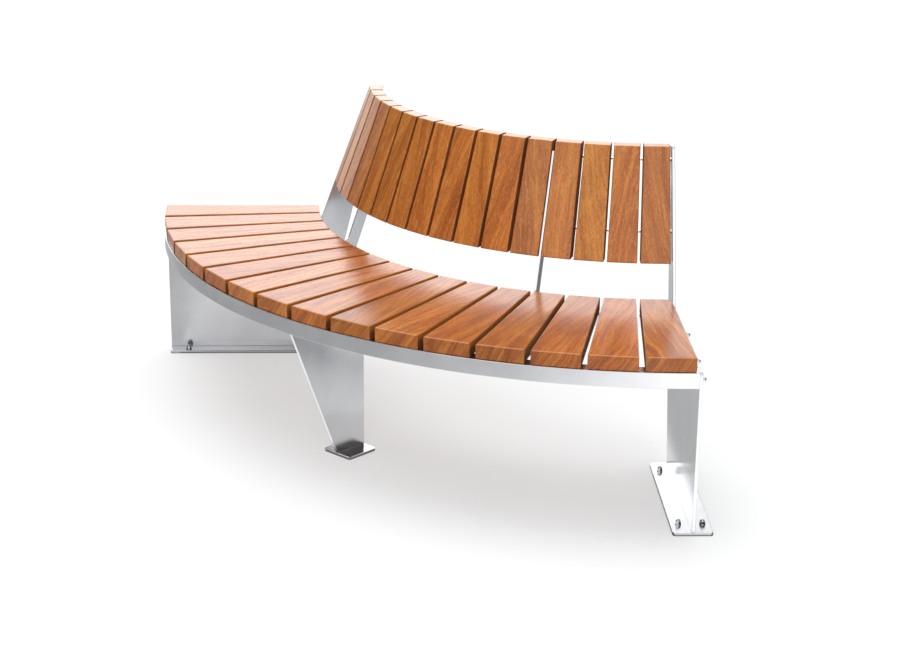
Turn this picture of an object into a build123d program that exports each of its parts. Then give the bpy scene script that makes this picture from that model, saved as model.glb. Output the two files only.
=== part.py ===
"""Quarter-ring bench module with a leaning slatted back, in millimetres.

Seen from above, the seat is a quarter of a ring and people sit facing outwards. Every piece is drawn
along +X from the centre of the ring, with +Y the way round it, and is then turned to its own angle.
Angle 0 is the left end of the module and the full module angle is its right end.
"""
from build123d import *
import os
from math import cos, radians, tan

# Whole module
MODULE_ANGLE = 90.0
SLAT_COUNT = 16
SEAT_HEIGHT = 460.0

# Seat: boards between two radii, resting on two rolled steel angles
SEAT_FRONT = 1400.0
SEAT_DEPTH = 456.0
SEAT_SLAT_THICKNESS = 38.0
SEAT_GAP = 15.0
SLAT_ROUNDING = 3.0

# Back: boards that lean towards the centre of the ring, with level ends
BACK_LEAN = 20.0
BACK_SETBACK = 20.5
BACK_CLEARANCE = 79.0
BACK_SLAT_RISE = 288.0
BACK_SLAT_THICKNESS = 36.0
BACK_GAP = 9.2

# Seat rails
ANGLE_LEG = 40.0
ANGLE_WALL = 5.0
ANGLE_ROUNDING = 1.5
FRONT_RAIL_PROUD = 4.0
REAR_RAIL_PROUD = 1.0

# Back rails: level bars with a fixing tab bent down behind each slat
BACK_RAIL_THICKNESS = 4.0
BACK_RAIL_DEPTH = 18.0
UPPER_RAIL_DROP = 39.0
LOWER_RAIL_RISE = 71.0
TAB_WIDTH = 24.0
TAB_LENGTH = 22.0

# End frames, centre leg and their floor plates
PLATE_THICKNESS = 8.0
PLATE_ROUNDING = 8.0
PLATE_EDGE_BREAK = 0.8
FRAME_BACK_MARGIN = 3.0
BASE_THICKNESS = 8.0
BASE_WIDTH = 100.0
BASE_LENGTH = 450.0
BASE_ROUNDING = 8.0
BASE_EDGE_BREAK = 1.2
CENTRE_LEG_REAR = 264.0
CENTRE_LEG_ROUNDING = 60.0

# Back supports, which stand in two of the gaps between slats
SUPPORT_THICKNESS = 5.0
SUPPORT_INSET = 4.0
SUPPORT_ABOVE_RAIL = 14.0
SUPPORT_NOSE_REACH = 22.0
SUPPORT_NOSE_RISE = 34.0
SUPPORT_NOSE_TIP = 8.0

# Screws that hold the slats
SCREW_RADIUS = 2.5
SCREW_BITE = 20.0
SCREW_HEAD_ACROSS = 8.0
SCREW_HEAD_HEIGHT = 3.5

# M8 hardware: anchors in the floor plates and bolts that join two modules
BOLT_RADIUS = 4.0
BOLT_HEAD_HEIGHT = 5.3
NUT_ACROSS = 13.0
NUT_HEX_HEIGHT = 6.0
NUT_DOME_RADIUS = 6.2
NUT_CROWN = 4.0
ANCHOR_NUT_HEIGHT = 11.5
JOINING_NUT_HEIGHT = 15.0
WASHER_RADIUS = 8.0
WASHER_THICKNESS = 1.6
ANCHOR_EDGE = 55.0
ANCHOR_SPREAD = 60.0
# Joining holes: distance back from the front face and down from the underside of the seat
JOINING_HOLES = ((48.0, 33.0), (142.0, 20.0), (319.0, 12.0))

# Clearances
ROUND_CLEARANCE = 0.3
BOLT_CLEARANCE = 0.5
JOINT_CLEARANCE = 0.3

# Worked out from the sizes above
PITCH = MODULE_ANGLE / SLAT_COUNT
LEAN = tan(radians(BACK_LEAN))
SLANT = 1.0 / cos(radians(BACK_LEAN))
SEAT_REAR = SEAT_FRONT - SEAT_DEPTH
RAIL_TOP = SEAT_HEIGHT - SEAT_SLAT_THICKNESS
RAIL_BOTTOM = RAIL_TOP - ANGLE_LEG
FRONT_FACE = SEAT_FRONT + FRONT_RAIL_PROUD
REAR_FACE = SEAT_REAR - REAR_RAIL_PROUD
FRONT_SCREWS = FRONT_FACE - (ANGLE_LEG + ANGLE_WALL) / 2
REAR_SCREWS = REAR_FACE + (ANGLE_LEG + ANGLE_WALL) / 2
BACK_BOTTOM = SEAT_HEIGHT + BACK_CLEARANCE
BACK_TOP = BACK_BOTTOM + BACK_SLAT_RISE
UPPER_RAIL = BACK_TOP - UPPER_RAIL_DROP
LOWER_RAIL = BACK_BOTTOM + LOWER_RAIL_RISE
BASE_REAR = FRONT_FACE - BASE_LENGTH
SUPPORT_GAPS = (SLAT_COUNT // 4, SLAT_COUNT - SLAT_COUNT // 4)
# The floor plates stand out past the ends of the ring, and the origin is midway below the whole module
BASE_OVERHANG = (PLATE_THICKNESS + BASE_WIDTH) / 2
RING_CENTRE = (FRONT_FACE - BASE_OVERHANG) / 2


def back_line(height, depth=0.0):
    """Radius of a line that leans with the back, a depth behind the front faces of the back slats."""
    at_seat = SEAT_REAR - BACK_SETBACK
    return at_seat - (height - SEAT_HEIGHT) * LEAN - depth * SLANT


def placed(piece, angle):
    """Turn a piece from +X to its angle round the ring, counted from the left end."""
    return Pos(RING_CENTRE, RING_CENTRE, 0) * Rot(0, 0, 180 + angle) * piece


def slat_angle(index):
    return (index + 0.5) * PITCH


def seat_half_width(radius):
    """Half the width of a seat slat, whose sides run straight to the centre of the ring."""
    return radius * (tan(radians(PITCH / 2)) - SEAT_GAP / 2 / SEAT_FRONT)


def back_half_width(height):
    """Half the width of a back slat, with the same gap beside it all the way up."""
    return back_line(height) * tan(radians(PITCH / 2)) - BACK_GAP / 2


def upright_face(points):
    """A closed outline of radius and height, standing on the XZ plane."""
    return Plane.XZ * make_face(Polyline(*points, close=True))


def flat_plate(points, thickness):
    return extrude(upright_face(points), amount=thickness / 2, both=True)


def broken_edges(outline):
    """A steel plate of the usual thickness with the sharp edges of both its sides taken off."""
    plate = extrude(outline, amount=PLATE_THICKNESS / 2, both=True)
    sides = plate.faces().filter_by(Axis.Y)
    return chamfer(sides.edges(), PLATE_EDGE_BREAK)


def across(radius, height, bore, length):
    """A round bar along Y, to cut a hole through an upright plate."""
    return Pos(radius, 0, height) * Rot(90, 0, 0) * Cylinder(bore, length)


def on_slat_back(height):
    """Place on the rear face of a back slat, with local +Z pointing forwards into the wood."""
    radius = back_line(height, BACK_SLAT_THICKNESS)
    return Pos(radius, 0, height) * Rot(0, 90 - BACK_LEAN, 0)


# Wooden slats


def eased(board):
    """A board with the edges of its two wide faces rounded, as a planed and sanded board has them."""
    wide_faces = board.faces().sort_by(SortBy.AREA)[-2:]
    return fillet(wide_faces.edges(), SLAT_ROUNDING)


def seat_slat():
    front = seat_half_width(SEAT_FRONT)
    rear = seat_half_width(SEAT_REAR)
    outline = ((SEAT_REAR, -rear), (SEAT_FRONT, -front), (SEAT_FRONT, front), (SEAT_REAR, rear))
    board = extrude(make_face(Polyline(*outline, close=True)), amount=SEAT_SLAT_THICKNESS)
    board = Pos(0, 0, RAIL_TOP) * eased(board)
    for radius in (FRONT_SCREWS, REAR_SCREWS):
        bore = Cylinder(SCREW_RADIUS + ROUND_CLEARANCE, 2 * SCREW_BITE)
        board -= Pos(radius, 0, RAIL_TOP) * bore
    return board


def tab_middle(rail_height):
    return rail_height - BACK_RAIL_THICKNESS - TAB_LENGTH / 2


def back_slat():
    """A leaning board with level ends, its tapered sides square to its face."""
    ends = (BACK_BOTTOM, BACK_TOP)
    outline = [(back_line(height), height) for height in ends]
    outline += [(back_line(height, BACK_SLAT_THICKNESS), height) for height in reversed(ends)]
    left = [(back_line(height), -back_half_width(height), height) for height in (0, 2 * BACK_TOP)]
    right = [(radius, -side, height) for radius, side, height in reversed(left)]
    taper = make_face(Polyline(*left, *right, close=True))
    board = flat_plate(outline, SEAT_REAR * LEAN) & extrude(taper, amount=SEAT_REAR, both=True)
    board = eased(board)
    for rail in (UPPER_RAIL, LOWER_RAIL):
        board -= on_slat_back(tab_middle(rail)) * Cylinder(SCREW_RADIUS + ROUND_CLEARANCE, 2 * SCREW_BITE)
    return board


# Rails


def angle_section(face, inwards):
    """Rolled angle: an upright leg on its outer face and a level leg that carries the slats."""
    toe = face + inwards * ANGLE_LEG
    wall = face + inwards * ANGLE_WALL
    shelf = RAIL_TOP - ANGLE_WALL
    section = make_face(
        Polyline(
            (face, RAIL_TOP),
            (toe, RAIL_TOP),
            (toe, shelf),
            (wall, shelf),
            (wall, RAIL_BOTTOM),
            (face, RAIL_BOTTOM),
            close=True,
        )
    )
    face_corners = section.vertices().sort_by(Axis.X, reverse=inwards < 0)[:2]
    return Plane.XZ * fillet(face_corners, ANGLE_ROUNDING)


def seat_rail(face, inwards, screws):
    rail = revolve(angle_section(face, inwards), Axis.Z, MODULE_ANGLE)
    for index in range(SLAT_COUNT):
        bore = Pos(screws, 0, RAIL_TOP) * Cylinder(SCREW_RADIUS + BOLT_CLEARANCE, 4 * ANGLE_WALL)
        rail -= Rot(0, 0, slat_angle(index)) * bore
    return rail


def back_tab(rail_height):
    """A tab bent down from the rail, flat against the rear face of one slat, with its screw hole."""
    low = rail_height - BACK_RAIL_THICKNESS - TAB_LENGTH
    deep = BACK_SLAT_THICKNESS + BACK_RAIL_THICKNESS
    near = [(back_line(height, BACK_SLAT_THICKNESS), height) for height in (low, rail_height)]
    far = [(back_line(height, deep), height) for height in (rail_height, low)]
    bore = Cylinder(SCREW_RADIUS + BOLT_CLEARANCE, 4 * BACK_RAIL_THICKNESS)
    return flat_plate(near + far, TAB_WIDTH) - on_slat_back(tab_middle(rail_height)) * bore


def back_rail(rail_height):
    """A level bar whose front edge is cut to the rear face of every slat it passes."""
    low = rail_height - BACK_RAIL_THICKNESS
    inner = back_line(rail_height, BACK_SLAT_THICKNESS) - BACK_RAIL_DEPTH
    outer = back_line(low, BACK_SLAT_THICKNESS / 2)
    section = upright_face(((inner, low), (outer, low), (outer, rail_height), (inner, rail_height)))
    rail = revolve(section, Axis.Z, MODULE_ANGLE)
    faces = [(back_line(height, BACK_SLAT_THICKNESS), height) for height in (0, BACK_TOP)]
    slat_space = flat_plate(faces + [(SEAT_FRONT, BACK_TOP), (SEAT_FRONT, 0)], SEAT_REAR * LEAN)
    for index in range(SLAT_COUNT):
        rail -= Rot(0, 0, slat_angle(index)) * slat_space
    for index in range(SLAT_COUNT):
        rail += Rot(0, 0, slat_angle(index)) * back_tab(rail_height)
    for gap in SUPPORT_GAPS:
        rail -= Rot(0, 0, gap * PITCH) * back_support()
    return rail


# Steel plates


def end_frame():
    """Leg, seat end and back support cut from one plate, standing on its floor plate."""
    top_rear = back_line(BACK_TOP, BACK_SLAT_THICKNESS) - FRAME_BACK_MARGIN
    outline = make_face(
        Polyline(
            (BASE_REAR, BASE_THICKNESS),
            (FRONT_FACE, BASE_THICKNESS),
            (FRONT_FACE, RAIL_TOP),
            (back_line(RAIL_TOP), RAIL_TOP),
            (back_line(BACK_TOP), BACK_TOP),
            (top_rear, BACK_TOP),
            close=True,
        )
    )
    upper_corners = outline.vertices().filter_by_position(Axis.Y, RAIL_BOTTOM, BACK_TOP)
    plate = broken_edges(Plane.XZ * fillet(upper_corners, PLATE_ROUNDING))
    for back, down in JOINING_HOLES:
        hole = BOLT_RADIUS + BOLT_CLEARANCE
        plate -= across(FRONT_FACE - back, RAIL_TOP - down, hole, 2 * PLATE_THICKNESS)
    return plate


def anchor_places():
    """Radius and sideways place of the four anchors in a long floor plate."""
    return [
        (radius, side)
        for radius in (BASE_REAR + ANCHOR_EDGE, FRONT_FACE - ANCHOR_EDGE)
        for side in (-ANCHOR_SPREAD / 2, ANCHOR_SPREAD / 2)
    ]


def floor_plate(rear, length):
    plate = Pos(rear + length / 2, 0, BASE_THICKNESS / 2) * Box(length, BASE_WIDTH, BASE_THICKNESS)
    plate = fillet(plate.edges().filter_by(Axis.Z), BASE_ROUNDING)
    return chamfer(plate.faces().sort_by(Axis.Z)[-1].edges(), BASE_EDGE_BREAK)


def end_base_plate():
    plate = floor_plate(BASE_REAR, BASE_LENGTH)
    for radius, side in anchor_places():
        plate -= Pos(radius, side, 0) * Cylinder(BOLT_RADIUS + BOLT_CLEARANCE, 4 * BASE_THICKNESS)
    return plate


def centre_leg():
    """A plate that hangs under both seat rails and narrows to a square floor plate."""
    rear = FRONT_FACE - CENTRE_LEG_REAR
    front_end = FRONT_FACE - ANGLE_WALL - JOINT_CLEARANCE
    rear_end = REAR_FACE + ANGLE_WALL + JOINT_CLEARANCE
    shelf = RAIL_TOP - ANGLE_WALL
    outline = make_face(
        Polyline(
            (rear, BASE_THICKNESS),
            (rear + BASE_WIDTH, BASE_THICKNESS),
            (front_end, RAIL_BOTTOM),
            (front_end, shelf),
            (rear_end, shelf),
            (rear_end, RAIL_BOTTOM),
            (rear, RAIL_BOTTOM),
            close=True,
        )
    )
    armpit = outline.vertices().sort_by_distance((rear, RAIL_BOTTOM))[0]
    outline = fillet(armpit, CENTRE_LEG_ROUNDING)
    return broken_edges(Plane.XZ * outline)


def centre_base_plate():
    return floor_plate(FRONT_FACE - CENTRE_LEG_REAR, BASE_WIDTH)


def back_support():
    """An upright in a gap of the back, with a foot behind the rear rail and a nose on top of it."""
    top = UPPER_RAIL + SUPPORT_ABOVE_RAIL
    shoulder = RAIL_TOP + SUPPORT_NOSE_RISE
    nose = REAR_FACE + SUPPORT_NOSE_REACH
    foot = REAR_FACE - JOINT_CLEARANCE
    return flat_plate(
        (
            (back_line(top, SUPPORT_INSET), top),
            (back_line(shoulder, SUPPORT_INSET), shoulder),
            (nose, RAIL_TOP + SUPPORT_NOSE_TIP),
            (nose, RAIL_TOP),
            (foot, RAIL_TOP),
            (foot, RAIL_BOTTOM),
            (back_line(RAIL_BOTTOM, BACK_SLAT_THICKNESS), RAIL_BOTTOM),
            (back_line(top, BACK_SLAT_THICKNESS), top),
        ),
        SUPPORT_THICKNESS,
    )


def cross_bar():
    rear_end = REAR_FACE + ANGLE_WALL + JOINT_CLEARANCE
    front_end = FRONT_FACE - ANGLE_WALL - JOINT_CLEARANCE
    shelf = RAIL_TOP - ANGLE_WALL
    ends = ((rear_end, RAIL_BOTTOM), (front_end, RAIL_BOTTOM), (front_end, shelf), (rear_end, shelf))
    return flat_plate(ends, PLATE_THICKNESS)


# Fasteners, each drawn standing on Z = 0 with its thread along +Z


def hexagon(across_flats, height):
    return extrude(RegularPolygon(across_flats / 2, 6, major_radius=False), amount=height)


def slat_screw(grip):
    """Hexagon head below the origin, shank up through the steel it grips and into the wood."""
    head = Pos(0, 0, -SCREW_HEAD_HEIGHT) * hexagon(SCREW_HEAD_ACROSS, SCREW_HEAD_HEIGHT)
    length = grip + SCREW_BITE - 2 * ROUND_CLEARANCE
    return head + Pos(0, 0, length / 2) * Cylinder(SCREW_RADIUS, length)


def seat_screws():
    screw = slat_screw(ANGLE_WALL)
    return [
        placed(Pos(radius, 0, RAIL_TOP - ANGLE_WALL) * screw, slat_angle(index))
        for radius in (FRONT_SCREWS, REAR_SCREWS)
        for index in range(SLAT_COUNT)
    ]


def back_screws():
    screw = Pos(0, 0, -BACK_RAIL_THICKNESS) * slat_screw(BACK_RAIL_THICKNESS)
    return [
        placed(on_slat_back(tab_middle(rail)) * screw, slat_angle(index))
        for rail in (UPPER_RAIL, LOWER_RAIL)
        for index in range(SLAT_COUNT)
    ]


def washer():
    hole = Cylinder(BOLT_RADIUS + ROUND_CLEARANCE, 2 * WASHER_THICKNESS)
    ring = Cylinder(WASHER_RADIUS, WASHER_THICKNESS) - hole
    return Pos(0, 0, WASHER_THICKNESS / 2) * ring


def dome_nut(height):
    straight = height - NUT_DOME_RADIUS
    dome = Pos(0, 0, straight / 2) * Cylinder(NUT_DOME_RADIUS, straight)
    standing = (Align.CENTER, Align.CENTER, Align.MIN)
    dome += Pos(0, 0, straight) * Sphere(NUT_DOME_RADIUS, arc_size1=0, align=standing)
    thread = Cylinder(BOLT_RADIUS + ROUND_CLEARANCE, 2 * (height - NUT_CROWN))
    return dome + hexagon(NUT_ACROSS, NUT_HEX_HEIGHT) - thread


def threaded_bar(grip, nut_height):
    """A stud through the plate and washer it grips, ending short of the crown of its dome nut."""
    length = grip + WASHER_THICKNESS + nut_height - NUT_CROWN - 2 * JOINT_CLEARANCE
    return Pos(0, 0, length / 2) * Cylinder(BOLT_RADIUS, length)


def joining_bolt():
    head = Pos(0, 0, -BOLT_HEAD_HEIGHT) * hexagon(NUT_ACROSS, BOLT_HEAD_HEIGHT)
    return head + threaded_bar(PLATE_THICKNESS, JOINING_NUT_HEIGHT)


def at_anchors(piece, height):
    """One copy of a piece at every anchor of both long floor plates."""
    return [
        placed(Pos(radius, side + shift, height) * piece, angle)
        for angle, shift in ((0, -PLATE_THICKNESS / 2), (MODULE_ANGLE, PLATE_THICKNESS / 2))
        for radius, side in anchor_places()
    ]


def at_joints(piece, sideways):
    """One copy of a piece at every joining hole of the right end, pointing out of the module."""
    return [
        placed(Pos(FRONT_FACE - back, sideways, RAIL_TOP - down) * Rot(-90, 0, 0) * piece, MODULE_ANGLE)
        for back, down in JOINING_HOLES
    ]


# All pieces by name, in place

pieces = {}
seat_board = seat_slat()
back_board = back_slat()
for number in range(SLAT_COUNT):
    pieces[f"seat_slat_{number + 1:02d}"] = placed(seat_board, slat_angle(number))
    pieces[f"back_slat_{number + 1:02d}"] = placed(back_board, slat_angle(number))

pieces["front_seat_rail"] = placed(seat_rail(FRONT_FACE, -1, FRONT_SCREWS), 0)
pieces["rear_seat_rail"] = placed(seat_rail(REAR_FACE, 1, REAR_SCREWS), 0)
pieces["upper_back_rail"] = placed(back_rail(UPPER_RAIL), 0)
pieces["lower_back_rail"] = placed(back_rail(LOWER_RAIL), 0)

for end, angle, outwards in (("left", 0, -1), ("right", MODULE_ANGLE, 1)):
    aside = Pos(0, outwards * PLATE_THICKNESS / 2, 0)
    pieces[f"{end}_end_frame"] = placed(aside * end_frame(), angle)
    pieces[f"{end}_base_plate"] = placed(aside * end_base_plate(), angle)

pieces["centre_leg"] = placed(centre_leg(), MODULE_ANGLE / 2)
pieces["centre_base_plate"] = placed(centre_base_plate(), MODULE_ANGLE / 2)

for end, gap in zip(("left", "right"), SUPPORT_GAPS):
    pieces[f"{end}_back_support"] = placed(back_support(), gap * PITCH)
    pieces[f"{end}_cross_bar"] = placed(cross_bar(), gap * PITCH)

pieces["seat_slat_screws"] = Compound(seat_screws())
pieces["back_slat_screws"] = Compound(back_screws())
anchor_nut = dome_nut(ANCHOR_NUT_HEIGHT)
joining_nut = dome_nut(JOINING_NUT_HEIGHT)
pieces["anchor_studs"] = Compound(at_anchors(threaded_bar(BASE_THICKNESS, ANCHOR_NUT_HEIGHT), 0))
pieces["anchor_washers"] = Compound(at_anchors(washer(), BASE_THICKNESS))
pieces["anchor_nuts"] = Compound(at_anchors(anchor_nut, BASE_THICKNESS + WASHER_THICKNESS))
pieces["joining_bolts"] = Compound(at_joints(joining_bolt(), 0))
pieces["joining_washers"] = Compound(at_joints(washer(), PLATE_THICKNESS))
pieces["joining_nuts"] = Compound(at_joints(joining_nut, PLATE_THICKNESS + WASHER_THICKNESS))

os.makedirs("parts", exist_ok=True)
for name, piece in pieces.items():
    export_step(piece, f"parts/{name}.step")
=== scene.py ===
import math
from typing import NamedTuple

import bpy
from mathutils import Matrix, Vector


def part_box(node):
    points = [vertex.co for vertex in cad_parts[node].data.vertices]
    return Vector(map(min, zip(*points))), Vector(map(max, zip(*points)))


class Texture(NamedTuple):
    """Smooth noise: its cells to a metre each way, and how fine, rough and twisted it is."""

    cells: tuple
    detail: float
    roughness: float
    distortion: float = 0.0


class Boards(NamedTuple):
    """A quarter ring of boards: its centre, their number and the gap between them.

    A gap with a radius has its width there and narrows towards the centre. Only upright boards have a lean.
    """

    ring: Vector
    count: int
    gap: float
    gap_radius: float | None = None
    lean: float | None = None


class WoodLook(NamedTuple):
    """How boards look, with shares from 0 to 1 and the range of their roughness as polish.

    A hue of 0.5 changes nothing, nor does a tone or richness of 1. The width of a side is in metres. The
    side's share, width and tone paint shade onto the sides of the boards, in the gaps between them.
    """

    first_seed: float
    tone: float
    hue: float
    richness: float
    lines: float
    speckle: float
    veins: float
    polish: tuple
    side_shade_share: float
    side_shade_width: float
    side_tone: tuple


class SteelLook(NamedTuple):
    """How steel looks: its colour, the range of its roughness, and its fine lines."""

    colour: tuple
    polish: tuple
    lines: Texture


class Sun(NamedTuple):
    """A soft light: the direction that it comes from, its spread in degrees and its level."""

    name: str
    place: tuple
    spread: float
    level: float


class Card(NamedTuple):
    """A studio card: its middle, its turn in degrees, its size, and its level at either end of its own X."""

    name: str
    place: tuple
    turn: tuple
    size: tuple
    levels: tuple


# The photograph's view, in metres, degrees and pixels, with the sensor in millimetres.
# Heading is measured from +Y towards +X.
PHOTO_WIDTH = 900
FOCAL_PIXELS = 1973.0
CAMERA_PLACE = Vector((-0.0742, -5.1085, 2.0072))
CAMERA_HEADING = 2.02
CAMERA_DIP = 18.61
CAMERA_ROLL = 0.57
SENSOR_WIDTH = 36.0

# What the wood follows of the bench, in metres and degrees: the lean of the backrest, the gaps between its
# boards and between the seat's, and the seat's front radius and height.
BACK_LEAN = 20.0
BACK_GAP = 0.0092
SEAT_GAP = 0.015
SEAT_FRONT = 1.400
SEAT_TOP = 0.460

SCREW_NODES = ("seat_slat_screws", "back_slat_screws")
FASTENER_NODES = SCREW_NODES + (
    "anchor_studs",
    "anchor_washers",
    "anchor_nuts",
    "joining_bolts",
    "joining_washers",
    "joining_nuts",
)

# How far the grain strays from the line of its board: to a side, to and fro, and through its thickness.
GRAIN_SLOPE = 0.20
GRAIN_WANDER = 0.060
GRAIN_TILT = -0.60

# What the grain is made of, with cells along a board, across it and through it.
WANDER = Texture((3.2, 8.0, 8.0), 2.0, 0.5)
STREAKS = Texture((3.0, 85.0, 8.0), 5.0, 0.62)
VEINS = Texture((2.2, 26.0, 9.0), 3.0, 0.55, 0.7)
FIBRES = Texture((18.0, 300.0, 14.0), 3.0, 0.65)
FLECKS = Texture((115.0, 350.0, 350.0), 2.0, 0.7)
FIGURE = Texture((9.0, 16.0, 16.0), 3.0, 0.55, 0.6)

# The wood's colours. Streaks run through four of them, at these levels of their noise.
STREAK_TONES = (
    (0.28, (0.230, 0.050, 0.006)),
    (0.42, (0.400, 0.103, 0.012)),
    (0.55, (0.525, 0.160, 0.022)),
    (0.72, (0.650, 0.240, 0.045)),
)
VEIN_TONE = (0.270, 0.054, 0.008)
FIGURE_TONE = (0.670, 0.245, 0.042)
DARK_FIBRE_TONE = (0.195, 0.042, 0.006)
PALE_FIBRE_TONE = (0.720, 0.290, 0.065)
DARK_FLECK_TONE = (0.210, 0.048, 0.006)
PALE_FLECK_TONE = (0.780, 0.330, 0.085)
# Painted shade for the sides of the boards, down in the gaps between them.
GAP_SHADE_TONE = (0.085, 0.022, 0.004)
# The colour of a painted highlight on the rounded ends of the seat's boards.
EDGE_HIGHLIGHT_TONE = (0.860, 0.480, 0.260)

# The most that a layer covers of what lies under it. Those of fibres and flecks are parts of the look's own.
FIGURE_SHARE = 0.45
DARK_FIBRE_SHARE = 0.55
PALE_FIBRE_SHARE = 0.42
PALE_FLECK_SHARE = 0.60
# The most that the painted highlight covers of the rounded ends.
EDGE_HIGHLIGHT_SHARE = 0.34

# How boards differ from each other: their noise, their brightness and their hue.
SEED_STEP = 3.71
SHADE_SPREAD = 0.07
REDDER = 0.006
YELLOWER = 0.001

# The sides of a board carry painted shade for the gaps between boards. In metres: how near the sides the
# painted shade is full, and the depths below the seat's top between which it turns dark. The last is how much
# rougher they are.
SIDE_FULL = 0.0001
SIDE_PALE_DEPTH = 0.004
SIDE_DARK_DEPTH = 0.022
SIDE_ROUGHNESS = 0.45

# The painted highlight on the rounded edges is placed by how upright they face, from the flat top and from
# the plumb end, and by their distance from the sides in metres.
EDGE_TOP = (0.985, 0.90)
EDGE_FOOT = (0.05, 0.40)
CLEAR_OF_SIDES = (0.0028, 0.0034)

# The wood's gloss runs through its polish between two levels of the fibres.
GLOSS_FIBRES = (0.30, 0.75)
WOOD_IOR = 1.45
WOOD_BUMP = {"Strength": 0.12, "Distance": 0.0004}
# The seat's wood is set darker than the backrest's (a tone of 0.99 against 1.11) to offset the stronger light
# on its level top: painted shade on the seat, painted light on the backrest.
SEAT_LOOK = WoodLook(
    first_seed=1432.6,
    tone=0.99,
    hue=0.502,
    richness=1.0,
    lines=1.0,
    speckle=0.60,
    veins=0.70,
    polish=(0.20, 0.26),
    # The sides' share, width and tone are painted shade in the gaps, pale at the top and dark lower down.
    side_shade_share=0.78,
    side_shade_width=0.0020,
    side_tone=(0.370, 0.128, 0.010),
)
BACK_LOOK = WoodLook(
    first_seed=442.5,
    tone=1.11,
    hue=0.508,
    richness=0.975,
    lines=0.60,
    speckle=0.62,
    veins=0.60,
    polish=(0.20, 0.27),
    # The sides' share, width and tone are painted shade in the gaps.
    side_shade_share=0.64,
    side_shade_width=0.0007,
    side_tone=GAP_SHADE_TONE,
)

# Steel has clouds and fine lines. Both make its wear, and the clouds also make its tone.
CLOUDS = Texture((7.0, 7.0, 7.0), 4.0, 0.6)
CLOUD_SEED = 1.7
LINE_SEED = 4.1
LINE_SHARE = 0.35
WEAR_RANGE = (0.32, 0.68)
DEEP_CLOUD = 0.30
PALE_CLOUD = 0.70
DEEPER = 0.93
PALER = 1.06
STEEL_BUMP = {"Strength": 0.10, "Distance": 0.0002}
FRAME_LOOK = SteelLook(
    colour=(0.665, 0.675, 0.695),
    polish=(0.17, 0.23),
    lines=Texture((900.0, 900.0, 60.0), 2.0, 0.5),
)
FASTENER_LOOK = SteelLook(
    colour=(0.60, 0.61, 0.62),
    polish=(0.05, 0.10),
    lines=Texture((1200.0, 1200.0, 1200.0), 2.0, 0.5),
)

# Light levels. A level of 1 shows a white surface as white.
WHITE = (1.0, 1.0, 1.0)
SKY_LOW = 0.38
SKY_HIGH = 0.88
FLOOR_TONE = (0.522, 0.530, 0.533)
FLOOR_LIFT = 0.44
FLOOR_SIZE = 60.0
FLOOR_DROP = 0.0005
SUNS = (
    Sun("front_light", (0.0, -0.94, 0.34), 40.0, 0.28),
    Sun("back_light", (-0.20, 0.26, 0.945), 45.0, 0.42),
)

# Most cards lie level, or stand facing front and back, or left and right.
LEVEL = (0.0, 0.0, 0.0)
UPRIGHT = (90.0, 0.0, 0.0)
SIDEWAYS = (90.0, 0.0, 90.0)
BACK_WALL = 4.6
ON_FLOOR = 0.002
OVER_CARDS = 0.003
UNDER_PLATES = -0.0002

# In order: behind the bench, for the sheen of the seat; on the floor, for what the steel shows of it; upright
# in front; by the slanted edge of the centre leg; dark sheets under the floor plates, a painted contact
# shadow that their edges reflect; and dark at either side.
CARDS = (
    Card("back_card", (0.0, BACK_WALL, 1.60), (90.0, 11.0, 0.0), (7.0, 1.4), (2.95, 2.95)),
    Card("right_back_card", (1.9, BACK_WALL, 2.85), UPRIGHT, (1.6, 1.1), (0.95, 0.85)),
    Card("front_card", (0.2, -2.4, ON_FLOOR), LEVEL, (1.8, 3.3), (0.66, 1.70)),
    Card("left_floor_card", (-1.3, 0.3, ON_FLOOR), LEVEL, (1.2, 5.4), (0.37, 0.64)),
    Card("back_floor_card", (-0.8, 4.3, ON_FLOOR), LEVEL, (2.2, 2.6), (0.50, 0.50)),
    Card("right_floor_card", (0.42, 1.15, ON_FLOOR), LEVEL, (0.44, 3.0), (0.66, 0.47)),
    Card("centre_floor_card", (0.30, -0.26, OVER_CARDS), LEVEL, (0.36, 0.36), (0.84, 0.74)),
    Card("far_right_floor_card", (1.7, 1.5, ON_FLOOR), LEVEL, (1.7, 2.4), (0.24, 0.20)),
    Card("front_left_card", (-2.46, -3.32, 2.3), (90.0, 0.0, -41.0), (1.6, 1.6), (1.6, 1.6)),
    Card("front_right_card", (1.34, -4.3, 2.4), UPRIGHT, (1.6, 1.6), (1.6, 1.6)),
    Card("leg_edge_card", (-0.2895, -0.2315, 0.135), (103.1, 19.1, -99.6), (0.05, 0.44), (1.25, 1.25)),
    # Painted contact shadow: dark sheets under the floor plates, seen only in reflections in their edges.
    Card("left_base_shade", (-0.504, 0.679, UNDER_PLATES), LEVEL, (0.49, 0.13), (0.20, 0.20)),
    Card("right_base_shade", (0.679, -0.494, UNDER_PLATES), LEVEL, (0.14, 0.482), (0.12, 0.12)),
    Card("centre_base_shade", (-0.166, -0.166, UNDER_PLATES), (0.0, 0.0, 45.0), (0.13, 0.13), (0.20, 0.20)),
    Card("left_flag", (-2.4, 0.30, 1.1), SIDEWAYS, (5.6, 1.9), (0.03, 0.03)),
    Card("right_flag", (2.6, 0.0, 1.1), SIDEWAYS, (5.0, 1.9), (0.03, 0.03)),
)

# The sockets that Blender's Mix node uses for colours, by number.
MIX_SHARE = 0
MIX_FIRST = 6
MIX_SECOND = 7
MIX_RESULT = 2


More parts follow.
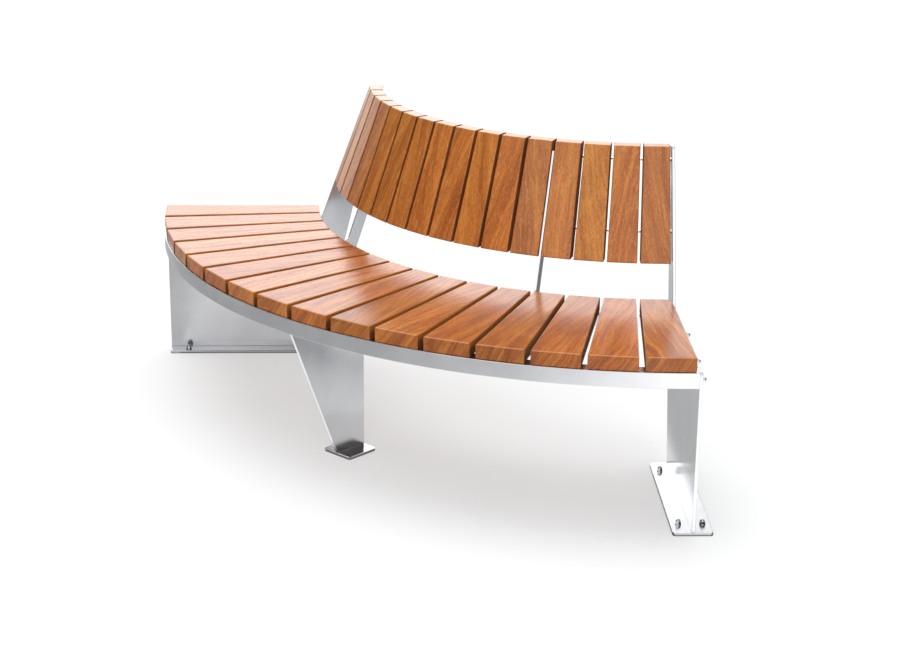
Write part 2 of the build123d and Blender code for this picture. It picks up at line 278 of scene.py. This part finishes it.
class Graph:
    """A short way to write a material's nodes."""

    def __init__(self, tree):
        self.tree = tree
        tree.nodes.clear()

    def add(self, kind, inputs=None, **settings):
        """A node with its settings, and its inputs by name or number: a value, or another node's output."""
        node = self.tree.nodes.new(kind)
        for name, value in settings.items():
            setattr(node, name, value)
        for name, value in (inputs or {}).items():
            self.feed(node.inputs[name], value)
        return node

    def feed(self, socket, value):
        """Links an output to a socket, or sets a value there. Colours are opaque."""
        if isinstance(value, bpy.types.NodeSocket):
            self.tree.links.new(value, socket)
        elif socket.type == "RGBA":
            socket.default_value = (*value, 1.0)
        else:
            socket.default_value = value

    def math(self, operation, first, second=0.0, third=0.0):
        values = {0: first, 1: second, 2: third}
        return self.add("ShaderNodeMath", values, operation=operation).outputs[0]

    def parts(self, vector):
        """The X, Y and Z of a vector, by those names."""
        return self.add("ShaderNodeSeparateXYZ", {0: vector}).outputs

    def noise(self, vector, texture, seed):
        """A texture's value at each place, between 0 and 1."""
        scaled = self.add("ShaderNodeVectorMath", {0: vector, 1: texture.cells}, operation="MULTIPLY")
        values = {
            "Vector": scaled.outputs[0],
            "W": seed,
            "Scale": 1.0,
            "Detail": texture.detail,
            "Roughness": texture.roughness,
            "Distortion": texture.distortion,
        }
        return self.add("ShaderNodeTexNoise", values, noise_dimensions="4D").outputs["Fac"]

    def ramp(self, value, low, high, to_low=0.0, to_high=1.0):
        """Carries low to high over to to_low to to_high, and holds the ends."""
        values = {"Value": value, "From Min": low, "From Max": high, "To Min": to_low, "To Max": to_high}
        node = self.add("ShaderNodeMapRange", values, interpolation_type="SMOOTHSTEP")
        return node.outputs["Result"]

    def colours(self, value, stops):
        """A colour band: stops are pairs of a place and a colour."""
        node = self.add("ShaderNodeValToRGB", {"Fac": value})
        band = node.color_ramp.elements
        while len(band) < len(stops):
            band.new(1.0)
        for element, (place, colour) in zip(band, stops):
            element.position = place
            element.color = (*colour, 1.0)
        return node.outputs["Color"]

    def mix(self, share, first, second):
        """Two colours, or two numbers: a share of 0 is all first and 1 is all second."""
        values = {MIX_SHARE: share, MIX_FIRST: first, MIX_SECOND: second}
        return self.add("ShaderNodeMix", values, data_type="RGBA").outputs[MIX_RESULT]

    def seen(self):
        """1 for what the camera sees straight, in a reflection or through glass, and 0 for other light."""
        path = self.add("ShaderNodeLightPath").outputs
        direct = self.math("MAXIMUM", path["Is Camera Ray"], path["Is Glossy Ray"])
        return self.math("MAXIMUM", direct, path["Is Transmission Ray"])

    def bumped(self, bump, height, inputs):
        """A shader with these inputs, and a bump over this height."""
        normal = self.add("ShaderNodeBump", {**bump, "Height": height}).outputs[0]
        return self.add("ShaderNodeBsdfPrincipled", {**inputs, "Normal": normal})

    def show(self, shader):
        """Makes a shader the material's surface."""
        self.add("ShaderNodeOutputMaterial", {"Surface": shader.outputs[0]})


def new_material(name):
    material = bpy.data.materials.new(name)
    material.use_nodes = True
    return material, Graph(material.node_tree)


def dress(node, material):
    """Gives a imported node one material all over."""
    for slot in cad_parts[node].material_slots:
        slot.link = "OBJECT"
        slot.material = material


# Wood


def slat_place(graph, boards):
    """Where a point lies in its own board, the number of the board and the distance to its nearer side."""
    place = graph.parts(graph.add("ShaderNodeTexCoord").outputs["Object"])
    inward = graph.math("SUBTRACT", boards.ring.x, place["X"])
    forward = graph.math("SUBTRACT", boards.ring.y, place["Y"])
    turn = graph.math("ARCTAN2", forward, inward)
    step = math.pi / 2.0 / boards.count
    number = graph.math("FLOOR", graph.math("DIVIDE", turn, step))
    middle = graph.math("MULTIPLY_ADD", number, step, step / 2.0)
    aside = graph.math("SUBTRACT", turn, middle)
    squares = graph.math("MULTIPLY", inward, inward)
    radius = graph.math("SQRT", graph.math("MULTIPLY_ADD", forward, forward, squares))
    along = graph.math("MULTIPLY", radius, graph.math("COSINE", aside))
    across = graph.math("MULTIPLY", radius, graph.math("SINE", aside))
    board = graph.add("ShaderNodeCombineXYZ", {"X": along, "Y": across, "Z": place["Z"]}).outputs[0]
    half_gap = boards.gap / 2.0
    if boards.gap_radius is not None:
        half_gap = graph.math("MULTIPLY", along, half_gap / boards.gap_radius)
    half_width = graph.math("SUBTRACT", graph.math("MULTIPLY", along, math.tan(step / 2.0)), half_gap)
    from_side = graph.math("SUBTRACT", half_width, graph.math("ABSOLUTE", across))
    if boards.lean is not None:
        values = {"Vector": board, "Angle": math.radians(90.0 + boards.lean)}
        board = graph.add("ShaderNodeVectorRotate", values, rotation_type="Y_AXIS").outputs[0]
    return board, number, from_side


def grain_place(graph, board, runs, seed, chance):
    """Growth lines run a little askew in each board, wander slowly along it and lean through it."""
    wander = graph.noise(board, WANDER, seed)
    slope = graph.ramp(chance, 0.0, 1.0, -GRAIN_SLOPE, GRAIN_SLOPE)
    askew = graph.math("MULTIPLY", runs["X"], slope)
    drift = graph.math("MULTIPLY_ADD", wander, GRAIN_WANDER, askew)
    drift = graph.math("MULTIPLY_ADD", runs["Z"], GRAIN_TILT, drift)
    shift = graph.add("ShaderNodeCombineXYZ", {"Y": drift}).outputs[0]
    return graph.add("ShaderNodeVectorMath", {0: board, 1: shift}, operation="ADD").outputs[0]


def grain_colour(graph, look, board, grain, seed, streaks, fibres):
    """Streaks, with veins, a paler figure, fibres and flecks laid over them in turn."""
    veins = graph.noise(grain, VEINS, seed)
    flecks = graph.noise(grain, FLECKS, seed)
    figure = graph.noise(board, FIGURE, seed)
    # A layer starts at the first of its two noise levels and has its full share at the second.
    layers = (
        (veins, 0.48, 0.64, look.veins, VEIN_TONE),
        (figure, 0.52, 0.75, FIGURE_SHARE, FIGURE_TONE),
        (fibres, 0.50, 0.66, DARK_FIBRE_SHARE * look.lines, DARK_FIBRE_TONE),
        (fibres, 0.47, 0.32, PALE_FIBRE_SHARE * look.lines, PALE_FIBRE_TONE),
        (flecks, 0.54, 0.70, look.speckle, DARK_FLECK_TONE),
        (flecks, 0.46, 0.30, PALE_FLECK_SHARE * look.speckle, PALE_FLECK_TONE),
    )
    softened = graph.math("MULTIPLY_ADD", streaks, look.lines, 0.5 - 0.5 * look.lines)
    colour = graph.colours(softened, STREAK_TONES)
    for noise, start, full, share, tone in layers:
        colour = graph.mix(graph.ramp(noise, start, full, 0.0, share), colour, tone)
    return colour


def board_colour(graph, look, colour, shade_chance, tint_chance):
    """One board is a little darker, redder or paler than the next."""
    darkest = (1.0 - SHADE_SPREAD) * look.tone
    palest = (1.0 + SHADE_SPREAD) * look.tone
    values = {
        "Hue": graph.ramp(tint_chance, 0.0, 1.0, look.hue - REDDER, look.hue + YELLOWER),
        "Saturation": look.richness,
        "Value": graph.ramp(shade_chance, 0.0, 1.0, darkest, palest),
        "Color": colour,
    }
    return graph.add("ShaderNodeHueSaturation", values).outputs[0]


def seat_side_shade(graph, look, height):
    """Painted shade on the sides of the seat's boards: they keep their own tone at the top and are painted
    dark further down into the gap.
    """
    paler = graph.ramp(height, SEAT_TOP - SIDE_DARK_DEPTH, SEAT_TOP - SIDE_PALE_DEPTH)
    return graph.mix(paler, GAP_SHADE_TONE, look.side_tone)


def paint_end_highlight(graph, colour, from_side):
    """A painted highlight lightens the rounded upper edges at the ends of the seat's boards."""
    facing = graph.add("ShaderNodeNewGeometry").outputs["Normal"]
    upright = graph.parts(facing)["Z"]
    foot = graph.ramp(upright, *EDGE_FOOT, 0.0, EDGE_HIGHLIGHT_SHARE)
    edge = graph.math("MULTIPLY", graph.ramp(upright, *EDGE_TOP), foot)
    highlight_mask = graph.math("MULTIPLY", edge, graph.ramp(from_side, *CLEAR_OF_SIDES))
    return graph.mix(highlight_mask, colour, EDGE_HIGHLIGHT_TONE)


def hardwood(name, boards, look):
    """Oiled hardwood with its grain along each board and no two boards alike. Its sides are rougher and carry
    painted shade for the gaps between boards, and the seat's rounded ends carry a painted highlight.
    """
    material, graph = new_material(name)
    board, number, from_side = slat_place(graph, boards)
    runs = graph.parts(board)
    seed = graph.math("MULTIPLY_ADD", number, SEED_STEP, look.first_seed)
    chance = graph.add("ShaderNodeTexWhiteNoise", {"W": seed}, noise_dimensions="1D").outputs
    chances = graph.add("ShaderNodeSeparateColor", {0: chance["Color"]}).outputs
    grain = grain_place(graph, board, runs, seed, chances["Blue"])
    streaks = graph.noise(grain, STREAKS, seed)
    fibres = graph.noise(grain, FIBRES, seed)
    colour = grain_colour(graph, look, board, grain, seed, streaks, fibres)
    colour = board_colour(graph, look, colour, chance["Value"], chances["Green"])

    is_seat = boards.lean is None
    # Painted shade: the sides of the boards in the gaps take a darker tone, and on the seat they darken
    # further down.
    side = graph.ramp(from_side, look.side_shade_width, SIDE_FULL)
    side_tone = seat_side_shade(graph, look, runs["Z"]) if is_seat else look.side_tone
    colour = graph.mix(graph.math("MULTIPLY", side, look.side_shade_share), colour, side_tone)
    # A painted highlight on the rounded ends of the seat's boards.
    if is_seat:
        colour = paint_end_highlight(graph, colour, from_side)

    gloss = graph.ramp(fibres, *GLOSS_FIBRES, *look.polish)
    roughness = graph.math("MULTIPLY_ADD", side, SIDE_ROUGHNESS, gloss)
    relief = graph.mix(0.5, fibres, streaks)
    values = {"Base Color": colour, "Roughness": roughness, "IOR": WOOD_IOR}
    graph.show(graph.bumped(WOOD_BUMP, relief, values))
    return material


# Steel


def satin_steel(name, look):
    """Fine-ground steel: a light grain in its height, and a gloss that clouds a little."""
    material, graph = new_material(name)
    place = graph.add("ShaderNodeTexCoord").outputs["Object"]
    clouds = graph.noise(place, CLOUDS, CLOUD_SEED)
    lines = graph.noise(place, look.lines, LINE_SEED)
    wear = graph.math("MULTIPLY_ADD", lines, LINE_SHARE, graph.math("MULTIPLY", clouds, 1.0 - LINE_SHARE))
    roughness = graph.ramp(wear, *WEAR_RANGE, *look.polish)
    deep = tuple(value * DEEPER for value in look.colour)
    pale = tuple(min(1.0, value * PALER) for value in look.colour)
    colour = graph.colours(clouds, ((DEEP_CLOUD, deep), (PALE_CLOUD, pale)))
    values = {"Base Color": colour, "Metallic": 1.0, "Roughness": roughness}
    graph.show(graph.bumped(STEEL_BUMP, lines, values))
    return material


# Studio


def add_floor():
    """A pale floor. What the camera and reflections see of it is lifted to white, and keeps the shadow."""
    bpy.ops.mesh.primitive_plane_add(size=FLOOR_SIZE, location=(0.0, 0.0, -FLOOR_DROP))
    floor = bpy.context.object
    floor.name = "studio_floor"
    material, graph = new_material("studio_white")
    matte = graph.add("ShaderNodeBsdfDiffuse", {"Color": FLOOR_TONE})
    lift = graph.add("ShaderNodeEmission", {"Strength": graph.math("MULTIPLY", graph.seen(), FLOOR_LIFT)})
    graph.show(graph.add("ShaderNodeAddShader", {0: matte.outputs[0], 1: lift.outputs[0]}))
    floor.data.materials.append(material)


def add_sky():
    """Soft light from all round and more from above. Seen directly, or in metal, it is white."""
    world = bpy.data.worlds.new("studio_sky")
    bpy.context.scene.world = world
    world.use_nodes = True
    graph = Graph(world.node_tree)
    height = graph.parts(graph.add("ShaderNodeTexCoord").outputs["Generated"])["Z"]
    light = graph.ramp(height, 0.0, 1.0, SKY_LOW, SKY_HIGH)
    level = graph.ramp(graph.seen(), 0.0, 1.0, light, 1.0)
    sky = graph.add("ShaderNodeBackground", {"Color": WHITE, "Strength": level})
    graph.add("ShaderNodeOutputWorld", {"Surface": sky.outputs[0]})


def add_soft_sun(name, place, spread, level):
    """Soft light of the same strength everywhere, from the direction of place, unseen in reflections."""
    lamp = bpy.data.lights.new(name, "SUN")
    lamp.energy = level * math.pi
    lamp.angle = math.radians(spread)
    sun = bpy.data.objects.new(name, lamp)
    sun.visible_glossy = False
    sun.matrix_world = (-Vector(place)).to_track_quat("-Z", "Y").to_matrix().to_4x4()
    bpy.context.scene.collection.objects.link(sun)


def add_card(name, place, turn, size, levels):
    """A studio card that only shows in reflections, its brightness running along its own X."""
    angles = [math.radians(angle) for angle in turn]
    bpy.ops.mesh.primitive_plane_add(size=1.0, location=place, rotation=angles)
    card = bpy.context.object
    card.name = name
    card.scale = (*size, 1.0)
    material, graph = new_material(name)
    sideways = graph.parts(graph.add("ShaderNodeTexCoord").outputs["Object"])["X"]
    level = graph.ramp(sideways, -0.5, 0.5, *levels)
    graph.show(graph.add("ShaderNodeEmission", {"Strength": level}))
    card.data.materials.append(material)
    card.visible_camera = False
    card.visible_diffuse = False
    card.visible_shadow = False


def add_camera():
    """The photograph's camera, from its place, heading, dip and roll."""
    heading = math.radians(CAMERA_HEADING)
    dip = math.radians(CAMERA_DIP)
    roll = math.radians(CAMERA_ROLL)
    level = Vector((math.sin(heading), math.cos(heading), 0.0)) * math.cos(dip)
    forward = level - Vector((0.0, 0.0, math.sin(dip)))
    right = Vector((math.cos(heading), -math.sin(heading), 0.0))
    up = right.cross(forward)
    side = right * math.cos(roll) + up * math.sin(roll)
    top = up * math.cos(roll) - right * math.sin(roll)
    turn = Matrix((side, top, -forward)).transposed()
    lens = bpy.data.cameras.new("photo_view")
    lens.sensor_width = SENSOR_WIDTH
    lens.lens = SENSOR_WIDTH * FOCAL_PIXELS / PHOTO_WIDTH
    camera = bpy.data.objects.new("photo_view", lens)
    camera.matrix_world = Matrix.Translation(CAMERA_PLACE) @ turn.to_4x4()
    bpy.context.scene.collection.objects.link(camera)
    bpy.context.scene.camera = camera


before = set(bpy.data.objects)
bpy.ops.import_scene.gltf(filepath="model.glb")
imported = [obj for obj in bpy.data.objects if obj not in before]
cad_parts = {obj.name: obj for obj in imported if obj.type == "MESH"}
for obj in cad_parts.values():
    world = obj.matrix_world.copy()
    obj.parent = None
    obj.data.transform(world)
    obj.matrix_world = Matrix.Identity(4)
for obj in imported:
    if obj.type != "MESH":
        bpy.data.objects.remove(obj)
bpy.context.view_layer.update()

ring_centre = Vector((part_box("right_end_frame")[0][0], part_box("left_end_frame")[0][1]))
slats = [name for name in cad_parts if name.startswith("seat_slat_") and name not in SCREW_NODES]
seat_boards = Boards(ring_centre, len(slats), SEAT_GAP, gap_radius=SEAT_FRONT)
back_boards = Boards(ring_centre, len(slats), BACK_GAP, lean=BACK_LEAN)
seat_wood = hardwood("oiled_hardwood_seat", seat_boards, SEAT_LOOK)
back_wood = hardwood("oiled_hardwood_back", back_boards, BACK_LOOK)
frame_steel = satin_steel("satin_steel", FRAME_LOOK)
fastener_steel = satin_steel("polished_steel", FASTENER_LOOK)

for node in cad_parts:
    if node in FASTENER_NODES:
        dress(node, fastener_steel)
    elif node.startswith("seat_slat_"):
        dress(node, seat_wood)
    elif node.startswith("back_slat_"):
        dress(node, back_wood)
    else:
        dress(node, frame_steel)

add_floor()
add_sky()
for sun in SUNS:
    add_soft_sun(*sun)
for card in CARDS:
    add_card(*card)
add_camera()
bpy.context.scene.view_settings.view_transform = "Standard"
